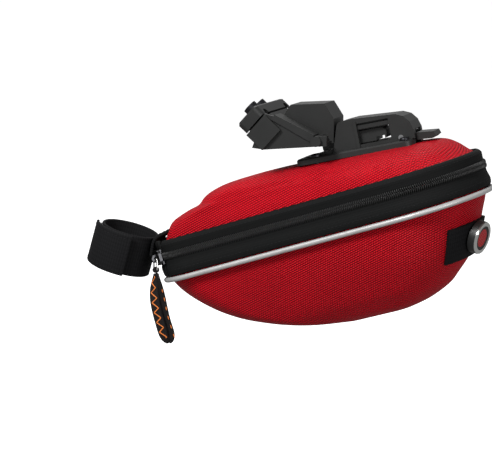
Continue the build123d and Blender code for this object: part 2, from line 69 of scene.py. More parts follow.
def axes_at(origin, along, up):
    """Matrix whose columns are along, across and up, at a point in the row frame."""
    across = up.cross(along).normalized()
    turn = Matrix((along, across, up)).transposed().to_4x4()
    return Matrix.Translation(origin) @ turn


bag_up = Vector(joints["zip_travel"]["axis"])
bag_rear = Vector((0, 1, 0)).cross(bag_up)
nose_centre = Vector(joints["zip_travel"]["pos_m"])
BAG = axes_at(nose_centre - bag_rear * NOSE_ARC * MM, bag_rear, bag_up)
post_up = Vector(mounts["seatpost_loop"]["axis"])
post_rear = Vector((0, 1, 0)).cross(post_up)
POST = axes_at(Vector(mounts["seatpost_loop"]["pos_m"]), post_rear, post_up)
print("bag tilt", round(math.degrees(math.asin(bag_rear.z)), 2), "degrees")


def to_row(points, place=BAG):
    """Points in millimetres in a set of axes, as metres in the row frame."""
    points = np.asarray(points, float)
    turn = np.array(place.to_3x3())
    return points * MM @ turn.T + np.array(place.translation)


# %% [markdown]
# The camera comes first, with the cord, because both decide what has to show. It looks at the
# left side of the bicycle from slightly behind the saddle and a little above it, with a long
# lens, which keeps the bag's straight lines straight.

# %% Camera
AZIMUTH, ELEVATION, DISTANCE = math.radians(16), math.radians(8), 1.15
FRAME_WIDTH = 0.2840                 # width of the view at the target's distance
target = Vector((-0.0082, -0.020, -0.0597))
back = Vector((
    math.sin(AZIMUTH) * math.cos(ELEVATION),
    -math.cos(AZIMUTH) * math.cos(ELEVATION),
    math.sin(ELEVATION),
))
lens = bpy.data.cameras.new("product_camera")
lens.sensor_width = 36
lens.lens = 36 * DISTANCE / FRAME_WIDTH
lens.clip_start, lens.clip_end = 0.05, 50
camera = bpy.data.objects.new("product_camera", lens)
scene.collection.objects.link(camera)
camera.location = target + back * DISTANCE
camera.rotation_mode = "QUATERNION"
camera.rotation_quaternion = (-back).to_track_quat("-Z", "Y")
scene.camera = camera
print("lens", round(lens.lens, 1), "mm")

# %% [markdown]
# Shader maths reads best as arithmetic. This small class wraps a socket, so that
# `1 - mask * 0.5` adds the Math nodes by itself, and `Finish` starts a material and makes any
# other node through one method.


# %% Shader arithmetic
class Wire:
    """A number socket that takes part in Python arithmetic."""

    def __init__(self, finish, socket):
        self.finish, self.socket = finish, socket

    def math(self, operation, *others):
        """One Math node on this socket and the others."""
        return self.finish.node("ShaderNodeMath", {"operation": operation}, [self, *others])

    def __add__(self, other):
        return self.math("ADD", other)

    __radd__ = __add__

    def __mul__(self, other):
        return self.math("MULTIPLY", other)

    __rmul__ = __mul__

    def __sub__(self, other):
        return self.math("SUBTRACT", other)

    def __rsub__(self, other):
        return self.finish.node("ShaderNodeMath", {"operation": "SUBTRACT"}, [other, self])

    def __truediv__(self, other):
        return self.math("DIVIDE", other)

    def __pow__(self, other):
        return self.math("POWER", other)


class Finish:
    """A material under construction."""

    def __init__(self, name):
        self.material = bpy.data.materials.new(name)
        self.material.use_nodes = True
        self.tree = self.material.node_tree
        self.shader = self.tree.nodes["Principled BSDF"]

    def link(self, value, socket):
        """Joins a Wire to a socket, or sets the socket's own value."""
        if isinstance(value, Wire):
            self.tree.links.new(value.socket, socket)
        elif value is not None:
            socket.default_value = value

    def node(self, kind, settings=None, inputs=(), output=0):
        """Any node: settings first, then inputs by position or by name."""
        made = self.tree.nodes.new(kind)
        for key, value in (settings or {}).items():
            if key == "stops":
                ramp_stops(made.color_ramp, value)
            else:
                setattr(made, key, value)
        named = inputs.items() if isinstance(inputs, dict) else enumerate(inputs)
        for key, value in named:
            self.link(value, made.inputs[key])
        return Wire(self, made.outputs[output])

    def set(self, **values):
        """Plain values or wires on the Principled shader, by socket name."""
        for key, value in values.items():
            self.link(value, self.shader.inputs[key.replace("_", " ")])
        return self

    def bump(self, height, depth, strength=1.0):
        """Relief of a given depth in metres on the shader's normal."""
        wire = self.node(
            "ShaderNodeBump", None, {"Strength": strength, "Distance": depth, "Height": height}
        )
        self.link(wire, self.shader.inputs["Normal"])
        return self

    def blend(self, share, first, second):
        """Mixes two colours by a number."""
        mix = self.tree.nodes.new("ShaderNodeMix")
        mix.data_type = "RGBA"
        self.link(share, mix.inputs["Factor"])
        self.link(first, mix.inputs[6])
        self.link(second, mix.inputs[7])
        return Wire(self, mix.outputs[2])

    def split(self, vector):
        """The three numbers of a vector."""
        apart = self.tree.nodes.new("ShaderNodeSeparateXYZ")
        self.link(vector, apart.inputs[0])
        return [Wire(self, out) for out in apart.outputs]

    def coords(self, kind, place=None):
        """Object, UV or Normal coordinates, turned into a set of axes."""
        output = {"Normal": 1, "UV": 2, "Object": 3}[kind]
        wire = self.node("ShaderNodeTexCoord", None, (), output)
        if place is None:
            return wire
        turned = place.inverted().to_euler()
        return self.node(
            "ShaderNodeMapping", {"vector_type": "POINT"}, {"Vector": wire, "Rotation": turned}
        )

    def noise(self, vector, size, detail=3.0):
        """Soft noise whose patches are about a given size in metres."""
        inputs = {"Vector": vector, "Scale": 1 / size, "Detail": detail}
        return self.node("ShaderNodeTexNoise", None, inputs)


def ramp_stops(ramp, stops):
    """Sets a colour ramp's stops from pairs of place and grey value."""
    while len(ramp.elements) < len(stops):
        ramp.elements.new(0.5)
    for element, (place, grey) in zip(ramp.elements, stops):
        element.position = place
        element.color = (grey, grey, grey, 1)


def rgb(red, green, blue):
    """Opaque colour."""
    return (red, green, blue, 1.0)


def report(*names):
    """Says how many nodes each of these finishes has."""
    for name in names:
        print(LOOKS[name].name, len(LOOKS[name].node_tree.nodes), "nodes")


# black cloth is very dark, since anything lighter turns grey in a white room
# in the woven and knitted finishes BLACK is painted shade in the hollows and BLACK_LIGHT the tops of the yarns
BLACK, BLACK_LIGHT = rgb(0.001, 0.001, 0.0011), rgb(0.011, 0.011, 0.012)
LOOKS = {}


print("black cloth reflects", BLACK_LIGHT[0], "at most")

# %% [markdown]
# The bag's cloth is a heavy nylon in a plain weave: short fat yarns, each half a step over
# from the row below, so that it reads as rows of small beads. The shells are moulded, and no
# flat pattern lies on them without stretching, so the weave is drawn on three planes and each
# spot takes the plane that it faces most.


# %% Woven cloth
def beads(a, b, pitch, row, turn):
    """Rows of rounded yarns on the plane of two coordinates, 0 in the gaps to 1 on top."""
    c, s = math.cos(math.radians(turn)), math.sin(math.radians(turn))
    along = (a * c + b * s) / (pitch * MM)
    across = (b * c - a * s) / (row * MM)
    shifted = along + across.math("FLOOR") * 0.5
    hill = (shifted.math("FRACT") * math.pi).math("SINE")
    ridge = (across.math("FRACT") * math.pi).math("SINE")
    return (hill * 0.6 + 0.4) * ridge


def facing(normal_part):
    """How strongly a surface faces one axis."""
    return normal_part.math("ABSOLUTE") ** 6.0


def moulded_weave(finish, pitch, row, turn):
    """The weave on three planes, mixed by the way the surface faces."""
    x, y, z = finish.split(finish.coords("Object", BAG))
    nx, ny, nz = [facing(n) for n in finish.split(finish.coords("Normal", BAG))]
    side = beads(x, z, pitch, row, turn)
    end = beads(y, z, pitch, row, turn)
    top = beads(x, y, pitch, row, turn)
    return (side * ny + end * nx + top * nz) / (nx + ny + nz)


def red_cloth():
    """Red ballistic nylon, its colour darkened to near black in the gaps between the yarns as painted shade."""
    f = Finish("red_ballistic_nylon")
    weave = moulded_weave(f, 1.6, 1.2, 12)
    place = f.coords("Object")
    patch = f.noise(place, 0.03)
    worn = f.noise(place, 0.0022, 2.0)
    # colour runs from near black in the gaps between the yarns to the cloth's red on their tops: painted shade in
    # the gaps; patch adds random tone
    tone = weave * 1.25 + patch * 0.25 - 0.16
    colour = f.blend(tone, rgb(0.05, 0.0, 0.001), rgb(0.66, 0.001, 0.012))
    f.set(Base_Color=colour, Roughness=0.6 - weave * 0.16 + worn * 0.1)
    f.set(Specular_IOR_Level=0.14)
    return f.bump(weave + worn * 0.12, 0.0005, 1.0).material


LOOKS["red"] = red_cloth()
report("red")

# %% [markdown]
# The lining is a thin warp knit glued to the foam, and hook-and-loop tape has the same small
# loops, so both share one recipe. The foam shows only at the open rim, as closed cells; a
# Voronoi texture gives round cells of one size, which plain noise would not.

# %% Lining and foam
def knit(name, dark, light, pitch):
    """Fine knitted lining, its colour darker in the hollows between the loops as painted shade."""
    f = Finish(name)
    loops = moulded_weave(f, pitch, pitch * 0.8, 0)
    fuzz = f.noise(f.coords("Object"), 0.0009, 4.0)
    # colour runs from dark in the hollows between the loops to light on their tops: painted shade in the hollows;
    # fuzz adds random tone
    f.set(Base_Color=f.blend(loops * 0.7 + fuzz * 0.3, dark, light), Roughness=0.9)
    f.set(Sheen_Weight=0.25, Specular_IOR_Level=0.2)
    return f.bump(loops + fuzz * 0.5, 0.0002, 0.8).material


def foam():
    """Closed-cell foam at the rims of the shells."""
    f = Finish("moulded_foam")
    cells = f.node(
        "ShaderNodeTexVoronoi", {"feature": "F1"}, {"Vector": f.coords("Object"), "Scale": 1600.0}
    )
    f.set(Base_Color=f.blend(cells, rgb(0.05, 0.05, 0.052), rgb(0.10, 0.10, 0.105)), Roughness=0.85)
    return f.bump(cells, 0.0001, 0.6).material


# LINING is painted shade in the hollows of the knit, LINING_LIGHT the tops of its loops
LINING, LINING_LIGHT = rgb(0.035, 0.035, 0.038), rgb(0.12, 0.12, 0.125)
LOOKS["lining"] = knit("knitted_lining", LINING, LINING_LIGHT, 1.1)
LOOKS["fuzz"] = knit("hook_and_loop", BLACK, BLACK_LIGHT, 0.5)
LOOKS["foam"] = foam()
report("lining", "fuzz", "foam")

# %% [markdown]
# Webbing is woven with thick weft yarns, so it has ribs across its length and finer threads
# between them. It bends with its strap, so the pattern reads the UV map that each sweep writes
# in metres, and not a place in space.

# %% Webbing, tape and lace
def ribbed(name, dark, light, rib, twill, rough=0.7, depth=0.0002):
    """Webbing or tape: ribs across the length, with a fine diagonal thread on each, and the colour darker in the
    hollows as painted shade.
    """
    f = Finish(name)
    along, across, _ = f.split(f.coords("UV"))
    rows = ((along / (rib * MM)).math("FRACT") * math.pi).math("SINE")
    slant = (along + across) / (twill * MM)
    twill_line = (slant.math("FRACT") * math.pi).math("SINE")
    lines = ((across / (rib * 1.6 * MM)).math("FRACT") * math.pi).math("SINE") ** 0.5
    fuzz = f.noise(f.coords("Object"), 0.0012, 4.0)
    height = rows * 0.5 + twill_line * 0.25 + lines * 0.35
    # colour runs from dark in the hollows between ribs and threads to light on their tops: painted shade in the
    # hollows; fuzz adds random tone
    f.set(Base_Color=f.blend(height * 0.75 + fuzz * 0.3, dark, light))
    f.set(Roughness=rough + fuzz * 0.15, Specular_IOR_Level=0.1)
    return f.bump(height + fuzz * 0.2, depth, 0.9).material


# TAPE_LIGHT and LACE_LIGHT are the tops of the ribs; BLACK and LACE are painted shade in their hollows
TAPE_LIGHT = rgb(0.009, 0.0095, 0.0095)
LACE, LACE_LIGHT = rgb(0.002, 0.002, 0.002), rgb(0.018, 0.016, 0.016)
LOOKS["tape"] = ribbed("zip_tape", BLACK, TAPE_LIGHT, 0.8, 1.2, 0.62, 0.00012)
LOOKS["webbing"] = ribbed("black_webbing", BLACK, BLACK_LIGHT, 1.5, 1.1, 0.7)
LOOKS["elastic"] = ribbed("ribbed_elastic", BLACK, BLACK_LIGHT, 2.2, 3.0, 0.75)
LOOKS["lace"] = ribbed("woven_lace", LACE, LACE_LIGHT, 0.9, 0.8, 0.7)
report("tape", "webbing", "elastic", "lace")

# %% [markdown]
# The bracket is glass-filled nylon from a spark-eroded mould: an even fine grain. Bolts, pins
# and wire are plated steel. Fine marks in the roughness do more for metal than colour does.

# %% Moulded plastic and plated metal
def plastic(name, colour, grain, rough):
    """Moulded plastic with a spark-eroded grain, lighter patches at random and uneven roughness."""
    f = Finish(name)
    place = f.coords("Object")
    fine, broad = f.noise(place, grain, 4.0), f.noise(place, 0.012, 2.0)
    lighter = tuple(c * 1.9 + 0.006 for c in colour[:3]) + (1.0,)
    f.set(Base_Color=f.blend(broad * 0.5 + fine * 0.2, colour, lighter))
    f.set(Roughness=rough + fine * 0.12 + broad * 0.06, Specular_IOR_Level=0.5)
    return f.bump(fine, 0.00004, 0.6).material


def metal(name, colour, rough, scratch=0.25):
    """Plated metal with fine handling marks."""
    f = Finish(name)
    place = f.coords("Object")
    marks = f.noise(place, 0.0006, 5.0)
    dull = f.noise(place, 0.006, 2.0)
    darker = tuple(c * 0.72 for c in colour[:3]) + (1.0,)
    f.set(Base_Color=f.blend(marks * 0.4 + dull * 0.3, colour, darker), Metallic=1.0)
    f.set(Roughness=rough + marks * scratch * 0.5)
    return f.bump(marks, 0.00002, 0.3).material


LOOKS["plastic"] = plastic("moulded_black", rgb(0.007, 0.0072, 0.007), 0.0005, 0.38)
LOOKS["coil"] = plastic("nylon_coil", rgb(0.006, 0.006, 0.006), 0.0008, 0.34)
LOOKS["slider"] = metal("black_lacquer", rgb(0.07, 0.07, 0.075), 0.25)
LOOKS["steel"] = metal("zinc_plate", rgb(0.52, 0.52, 0.53), 0.28)
LOOKS["black_steel"] = metal("black_oxide", rgb(0.045, 0.045, 0.05), 0.35)
LOOKS["bright"] = metal("nickel_plate", rgb(0.82, 0.82, 0.80), 0.12)
report("plastic", "coil", "slider", "steel", "black_steel", "bright")

# %% [markdown]
# The piping is wrapped in cloth coated with glass beads, which looks silver-grey. The reflector
# is a moulded disc with prisms behind it and a dark rim. The net is cut from a plain sheet by
# its alpha, since real holes would need a great many faces.

# %% Piping, reflector and net
def silver():
    """Reflective cloth over the piping: fine glass beads in a silver binder."""
    f = Finish("reflective_silver")
    along, across, _ = f.split(f.coords("UV"))
    place = f.coords("Object")
    grain = f.noise(place, 0.0005, 4.0)
    soil = f.noise(place, 0.014, 3.0)
    weave = ((along / 0.0007).math("FRACT") * math.pi).math("SINE")
    tone = soil * 0.5 + grain * 0.35 + weave * 0.12
    f.set(Base_Color=f.blend(tone, rgb(0.66, 0.65, 0.64), rgb(0.34, 0.34, 0.34)))
    f.set(Metallic=0.35, Roughness=0.34 + grain * 0.2, Specular_IOR_Level=0.6)
    return f.bump(grain + weave * 0.5, 0.00008, 0.6).material


def lens_red():
    """Moulded red reflector with small prisms behind its face."""
    f = Finish("red_reflector")
    x, y, z = f.split(f.coords("Object", BAG))
    grid = beads(y, z, 1.3, 1.1, 30)
    low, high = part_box("reflector_lens")
    place = [f.coords("Object"), (low + high) / 2]
    reach = f.node("ShaderNodeVectorMath", {"operation": "DISTANCE"}, place, 1)
    prisms = f.blend(grid, rgb(0.16, 0.0, 0.002), rgb(0.6, 0.008, 0.008))
    f.set(Base_Color=f.blend(reach.math("GREATER_THAN", 0.0053), prisms, rgb(0.01, 0.004, 0.004)))
    f.set(Roughness=0.25 + grid * 0.1, Coat_Weight=0.1, Specular_IOR_Level=0.2)
    return f.bump(grid, 0.0002, 0.6).material


def mesh_net():
    """Open pocket net: the holes are cut by the alpha."""
    f = Finish("pocket_net")
    holes = moulded_weave(f, 2.2, 2.0, 0)
    cord = (holes.math("LESS_THAN", 0.72)) * 1.0
    fuzz = f.noise(f.coords("Object"), 0.0008, 3.0)
    f.set(Base_Color=f.blend(fuzz, rgb(0.015, 0.015, 0.016), rgb(0.06, 0.06, 0.062)))
    f.set(Roughness=0.8 + fuzz * 0.1, Alpha=cord)
    return f.material


def thread(name, dark, light):
    """Twisted sewing thread."""
    f = Finish(name)
    fuzz = f.noise(f.coords("Object"), 0.0004, 4.0)
    f.set(Base_Color=f.blend(fuzz, dark, light), Roughness=0.6 + fuzz * 0.3, Specular_IOR_Level=0.2)
    return f.bump(fuzz, 0.00005, 0.5).material


LOOKS["silver"], LOOKS["lens"], LOOKS["net"] = silver(), lens_red(), mesh_net()
LOOKS["black_thread"] = thread("black_thread", BLACK, rgb(0.014, 0.014, 0.015))
ORANGE, ORANGE_LIGHT = rgb(0.62, 0.12, 0.02), rgb(0.95, 0.32, 0.08)
LOOKS["orange_thread"] = thread("orange_thread", ORANGE, ORANGE_LIGHT)
report("silver", "lens", "net", "black_thread", "orange_thread")


# %% [markdown]
# Pieces are meshes made in code. One helper turns points and faces into an object at the
# origin, and a second one sweeps a flat or round section along a path with its own UV map in
# metres, because webbing, piping and lace are all patterns that follow their length.


# %% Mesh helpers
def piece(name, points, faces, look, uv=None, smooth=True):
    """A finished mesh object from points in metres."""
    mesh = bpy.data.meshes.new(name)
    mesh.from_pydata([tuple(p) for p in points], [], [tuple(f) for f in faces])
    mesh.materials.append(LOOKS[look])
    if uv is not None:
        layer = mesh.uv_layers.new(name="length_and_width")
        flat = np.array([uv[i] for face in faces for i in face], float)
        corners = np.zeros((len(mesh.loops), 2))
        corners[: len(flat)] = flat
        layer.data.foreach_set("uv", corners.ravel())
    mesh.polygons.foreach_set("use_smooth", [smooth] * len(mesh.polygons))
    mesh.update()
    made = bpy.data.objects.new(name, mesh)
    scene.collection.objects.link(made)
    return made


def turn_out(made):
    """Merges doubles and points every face outwards."""
    work = bmesh.new()
    work.from_mesh(made.data)
    bmesh.ops.remove_doubles(work, verts=work.verts, dist=1e-6)
    bmesh.ops.recalc_face_normals(work, faces=work.faces)
    work.to_mesh(made.data)
    work.free()
    return made


def crease(made, degrees=40):
    """Keeps edges sharper than an angle crisp."""
    made.data.set_sharp_from_angle(angle=math.radians(degrees))
    return made


def flat_section(width, thick, steps=5):
    """Rounded strip section as pairs of side and height, in millimetres."""
    r = thick * 0.48
    points = []
    for cx, cy, start in (
        (width / 2 - r, thick / 2 - r, 0), (-width / 2 + r, thick / 2 - r, 90),
        (-width / 2 + r, -thick / 2 + r, 180), (width / 2 - r, -thick / 2 + r, 270),
    ):
        for k in range(steps):
            a = math.radians(start + 90 * k / (steps - 1))
            points.append((cx + r * math.cos(a), cy + r * math.sin(a)))
    return points


def round_section(radius, steps=14):
    """Circle as pairs, in millimetres."""
    turns = [2 * math.pi * k / steps for k in range(steps)]
    return [(radius * math.cos(a), radius * math.sin(a)) for a in turns]


def unit(v):
    return v / np.maximum(np.linalg.norm(v, axis=-1, keepdims=True), 1e-12)


def sweep(name, path, side, section, look, closed=False, scale=None):
    """Sweeps a section along a path in metres; side is the direction of its width."""
    path, side = np.asarray(path, float), unit(np.asarray(side, float))
    count = len(path)
    if closed:
        ahead = np.roll(path, -1, 0) - np.roll(path, 1, 0)
    else:
        ahead = np.gradient(path, axis=0)
    ahead = unit(ahead)
    side = unit(side - ahead * (side * ahead).sum(1, keepdims=True))
    out = np.cross(ahead, side)
    run = np.concatenate([[0], np.cumsum(np.linalg.norm(np.diff(path, axis=0), axis=1))])
    around = np.array(section) * MM
    edge = np.linalg.norm(np.diff(np.vstack([around, around[:1]]), axis=0), axis=1)
    width = np.concatenate([[0], np.cumsum(edge)])
    wide = np.ones(count) if scale is None else np.asarray(scale, float)
    points, uv = [], []
    for i in range(count):
        for k, (a, b) in enumerate(around):
            points.append(path[i] + side[i] * a * wide[i] + out[i] * b)
            uv.append((run[i], width[k]))
    size = len(around)
    faces = []
    for i in range(count if closed else count - 1):
        j = (i + 1) % count
        for k in range(size):
            n = (k + 1) % size
            faces.append((i * size + k, i * size + n, j * size + n, j * size + k))
    if not closed:
        faces.append(tuple(range(size - 1, -1, -1)))
        faces.append(tuple((count - 1) * size + k for k in range(size)))
    return turn_out(piece(name, points, faces, look, uv))


print("strip section points", len(flat_section(25, 2)))

# %% [markdown]
# The plan outline is an egg: a small arc at the nose, a large one behind, and straight sides.
# Both moulds were cut to it, and the zip band, the piping and the rim all follow it, so one
# function gives every ring. It goes from the nose's tip round the left side, which is first.


# %% Plan rings
def egg(front, rear, r_nose, r_rear):
    """Closed ring of plan points in millimetres, tip first, left side first."""
    c1, c2 = front + r_nose, rear - r_rear
    sine = (r_rear - r_nose) / (c2 - c1)
    meet = math.acos(max(-1.0, min(1.0, sine)))
    nose = [(c1 - r_nose * math.cos(a), -r_nose * math.sin(a)) for a in np.linspace(0, meet, 22)]
    tail = [(c2 - r_rear * math.cos(a), -r_rear * math.sin(a)) for a in np.linspace(meet, math.pi, 44)]
    side = np.linspace(nose[-1], tail[0], 52)[1:-1]
    left = np.vstack([nose, side, tail])
    right = left[1:-1][::-1] * (1, -1)
    return np.vstack([left, right])


print("points on a ring", len(egg(2, 199, 22, 43)))

# %% [markdown]
# Each half shell is a stack of such rings, from the zip outwards. Only a dozen levels are
# given, and a smooth curve through them gives the rest. A subdivided cage could do this too,
# but then the plies would not stay parallel, as they are in a pressed laminate.

# %% Levels of the two half shells
def smooth_rows(rows, count):
    """Catmull-Rom curve through rows of numbers."""
    rows = np.asarray(rows, float)
    place = np.linspace(0, len(rows) - 1, count)
    low = np.minimum(place.astype(int), len(rows) - 2)
    t = (place - low)[:, None]
    p0, p1 = rows[np.maximum(low - 1, 0)], rows[low]
    p2, p3 = rows[low + 1], rows[np.minimum(low + 2, len(rows) - 1)]
    m1, m2 = (p2 - p0) / 2, (p3 - p1) / 2
    h = 2 * t**3 - 3 * t**2
    return (h + 1) * p1 + (t**3 - 2 * t**2 + t) * m1 - h * p2 + (t**3 - t**2) * m2


# height and plan of each level: front u, front h, rear u, rear h, nose and rear radius
LID = [
    (2, 0, 199, 0, 22, 43), (3.6, 3.7, 198.6, 3.5, 22, 42.7), (5.8, 7, 197.5, 7.5, 21.8, 41.8),
    (9.5, 13, 194.3, 10.9, 21.3, 39.5), (14.4, 17.9, 191, 14.6, 20, 36.5),
    (24.7, 21.3, 187.5, 17.6, 21, 33), (32.5, 23, 185, 19.2, 21, 30.5),
    (37, 26.2, 182.5, 20.2, 20, 28), (43, 28.6, 180, 20.9, 18.5, 25),
    (53, 30.3, 178, 21.2, 17, 22.5), (70, 30.6, 174, 21.8, 15, 20), (84, 30.2, 172, 21.9, 13, 18),
]
LOWER = [
    (2, 0, 199, 0, 22, 43), (2.3, -8, 198.4, -8, 22, 42.8), (3.9, -16.8, 196.9, -16.7, 21.5, 42),
    (10.9, -27.2, 193.3, -24.1, 21, 40.5), (23.1, -38.9, 187, -36, 20, 37),
    (36.2, -47.8, 179.4, -46.9, 19, 32), (50, -54.3, 170, -55.2, 17.5, 27),
    (64.3, -59.6, 163, -60.4, 15, 22), (79, -63.4, 151, -65.1, 12, 16.5),
    (99.4, -66.7, 140, -67.3, 8, 10),
]


def shell_surface(levels, count):
    """Grid of points over a half shell, and their outward directions, in millimetres."""
    grid = []
    for u0, h0, u1, h1, r0, r1 in smooth_rows(levels, count):
        ring = egg(u0, u1, r0, r1)
        height = h0 + (h1 - h0) * (ring[:, 0] - u0) / (u1 - u0)
        grid.append(np.column_stack([ring, height]))
    grid = np.array(grid)
    around = np.roll(grid, -1, 1) - np.roll(grid, 1, 1)
    upward = np.gradient(grid, axis=0)
    out = unit(np.cross(upward, around))
    middle = grid.mean((0, 1))
    flip = np.sign(((grid - middle) * out).sum(-1).mean())
    out = out * flip
    out[0, :, 2] = 0
    return grid, unit(out)


print("levels: lid", len(LID), "lower", len(LOWER))

# %% [markdown]
# A ply is the shell's surface moved inwards by two distances, with the rim closed between
# them, so it is a solid piece that can be seen from both sides when the bag is open.

# %% Closed plies
def ply(name, levels, outside, thick, look, count=44):
    """One closed ply of a half shell, from its inset outside face inwards."""
    grid, out = shell_surface(levels, count)
    rows, ring, _ = grid.shape
    outer, inner = grid - out * outside, grid - out * (outside + thick)
    points = np.vstack([outer.reshape(-1, 3), inner.reshape(-1, 3)])
    top = [outer[-1].mean(0), inner[-1].mean(0)]
    points = np.vstack([points, top])
    faces = []
    for layer in range(2):
        base = layer * rows * ring
        for i in range(rows - 1):
            for k in range(ring):
                n = (k + 1) % ring
                a, b = base + i * ring, base + (i + 1) * ring
                faces.append((a + k, a + n, b + n, b + k))
        last = base + (rows - 1) * ring
        for k in range(ring):
            faces.append((last + k, last + (k + 1) % ring, 2 * rows * ring + layer))
    for k in range(ring):
        n = (k + 1) % ring
        faces.append((k, n, rows * ring + n, rows * ring + k))
    made = turn_out(piece(name, to_row(points), faces, look))
    return crease(made, 50)


def put(made, body, node):
    """Joins a piece to its CAD body, in place of its CAD node."""
    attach(made, body)
    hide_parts(node)
    return made


print("a ply has", 2 * 44 * len(egg(2, 199, 22, 43)) + 2, "points")

# %% [markdown]
# Each half of the bag is one hot-pressed laminate: nylon outside, 4 mm foam, knitted lining.
# The three are separate pieces here, because an open bag shows the foam's edge at the rim.

# %% Lid and lower shell
PLIES = (  # piece, node, slot, look, inset of its outside, thickness
    ("_cloth", "_skin", "red_nylon", "red", 0.0, 0.8),
    ("_padding", "_foam", "shell_foam", "foam", 0.82, 3.96),
    ("_inside", "_lining", "lining", "lining", 4.8, 0.6),
)
for half, levels, body in (("lid", LID, "bag"), ("shell", LOWER, "lower_shell")):
    for suffix, node, slot, look, inset, thick in PLIES:
        made = put(ply(half + suffix, levels, inset, thick, look), body, half + node)
        print(made.name, len(made.data.polygons), "faces")

# %% [markdown]
# The zip tape is folded over cord at its edges, so the black band is convex and stands a
# little proud of the red cloth. Its section is drawn once for each half and swept round the
# egg, with the groove for the coil left between them.


# %% Zip band, piping and nose cover
def ring_path(ring, start=None, stop=None):
    """Points of a ring and their outward directions, cut by plan angle at the nose."""
    side = np.roll(ring, -1, 0) - np.roll(ring, 1, 0)
    out = unit(np.column_stack([side[:, 1], -side[:, 0]]))
    out = out * np.sign((out * (ring - ring.mean(0))).sum(1))[:, None]
    if start is None:
        return ring, out
    turn = np.degrees(np.arctan2(np.abs(ring[:, 1]), NOSE_ARC - ring[:, 0]))
    keep = (turn >= start) & (turn <= stop)
    if start > 0:
        return ring[keep], out[keep]
    half = len(ring) // 2
    order = np.roll(np.arange(len(ring)), half)
    order = order[keep[order]]
    return ring[order], out[order]


def finer(ring, gap=1.5):
    """The same closed ring with points about a gap apart."""
    loop = np.vstack([ring, ring[:1]])
    run = np.concatenate([[0], np.cumsum(np.linalg.norm(np.diff(loop, axis=0), axis=1))])
    at = np.linspace(0, run[-1], int(run[-1] / gap) // 2 * 2 + 1)[:-1]
    return np.column_stack([np.interp(at, run, loop[:, k]) for k in (0, 1)])


def band(name, section, look, start=None, stop=None, ring=(0, 201, 24, 44.5), place=BAG):
    """Sweeps a section of (out, h) pairs round the egg."""
    loop, out = ring_path(finer(egg(*ring)), start, stop)
    closed = start is None
    count, size = len(loop), len(section)
    run = np.concatenate([[0], np.cumsum(np.linalg.norm(np.diff(loop, axis=0), axis=1))]) * MM
    girth = np.concatenate([[0], np.cumsum(np.linalg.norm(np.diff(section, axis=0), axis=1))]) * MM
    points, uv, faces = [], [], []
    for i in range(count):
        for k, (o, h) in enumerate(section):
            points.append((loop[i, 0] + out[i, 0] * o, loop[i, 1] + out[i, 1] * o, h))
            uv.append((run[i], girth[k]))
    for i in range(count if closed else count - 1):
        j = (i + 1) % count
        for k in range(size):
            n = (k + 1) % size
            faces.append((i * size + k, i * size + n, j * size + n, j * size + k))
    if not closed:
        faces.append(tuple(range(size)))
        faces.append(tuple((count - 1) * size + k for k in range(size))[::-1])
    return turn_out(piece(name, to_row(points, place), faces, look, uv))


def rounded(points):
    """Softens a closed section by cutting its corners a few times."""
    points = np.asarray(points, float)
    for _ in range(2):
        ahead = np.roll(points, -1, 0)
        points = np.stack([points * 0.75 + ahead * 0.25, points * 0.25 + ahead * 0.75], 1)
        points = points.reshape(-1, 2)
    return points


UPPER_TAPE = rounded([
    (-2.4, 9.3), (-0.9, 8.5), (0.3, 7.0), (0.35, 5.4), (0.2, 4.4), (0.1, 2.0), (0.0, 0.3), (-2.4, 0.3),
])
LOWER_TAPE = rounded([
    (-2.4, -0.3), (0.0, -0.3), (0.1, -2.0), (0.2, -4.8), (0.7, -6.6), (1.1, -9.0), (0.9, -11.0),
    (0.2, -12.4), (-2.4, -12.2),
])
COVER = rounded([
    (-1.6, 9.6), (0.2, 9.2), (0.8, 7.0), (0.2, 4.4), (0.1, 0.3), (0.2, -4.8), (1.1, -6.8),
    (0.8, -11.0), (0.0, -12.6), (-0.9, -12.2), (-0.9, 0.1), (-1.7, 0.3),
])
PIPE = [(1.5 * math.cos(a), -14.4 + 1.5 * math.sin(a)) for a in np.linspace(-2.6, 2.6, 13)]
PIPE = PIPE + [(-3.4, -13.8), (-3.4, -15.4)]
put(band("zip_tape_upper", UPPER_TAPE, "tape", 44.6, 180), "bag", "upper_zip_tape")
put(band("zip_tape_lower", LOWER_TAPE, "tape", 46, 180), "lower_shell", "lower_zip_tape")
put(band("nose_cloth", COVER, "tape", -1, 45.4), "bag", "nose_cover")
pipe_ring = (-0.3, 201.2, 24.3, 44.7)
pipe = band("silver_piping", PIPE, "silver", ring=pipe_ring)
put(pipe, "lower_shell", "reflective_piping")
print("band height", 9.3 + 12.4, "mm")

# %% [markdown]
# The coil is one nylon spiral sewn to each tape. From outside it shows as short upright ticks,
# all alike and evenly spaced, so a Geometry Nodes group sets one small tick on every step of a
# path. The same group lays the stitches. Spacing and size are inputs, in metres.


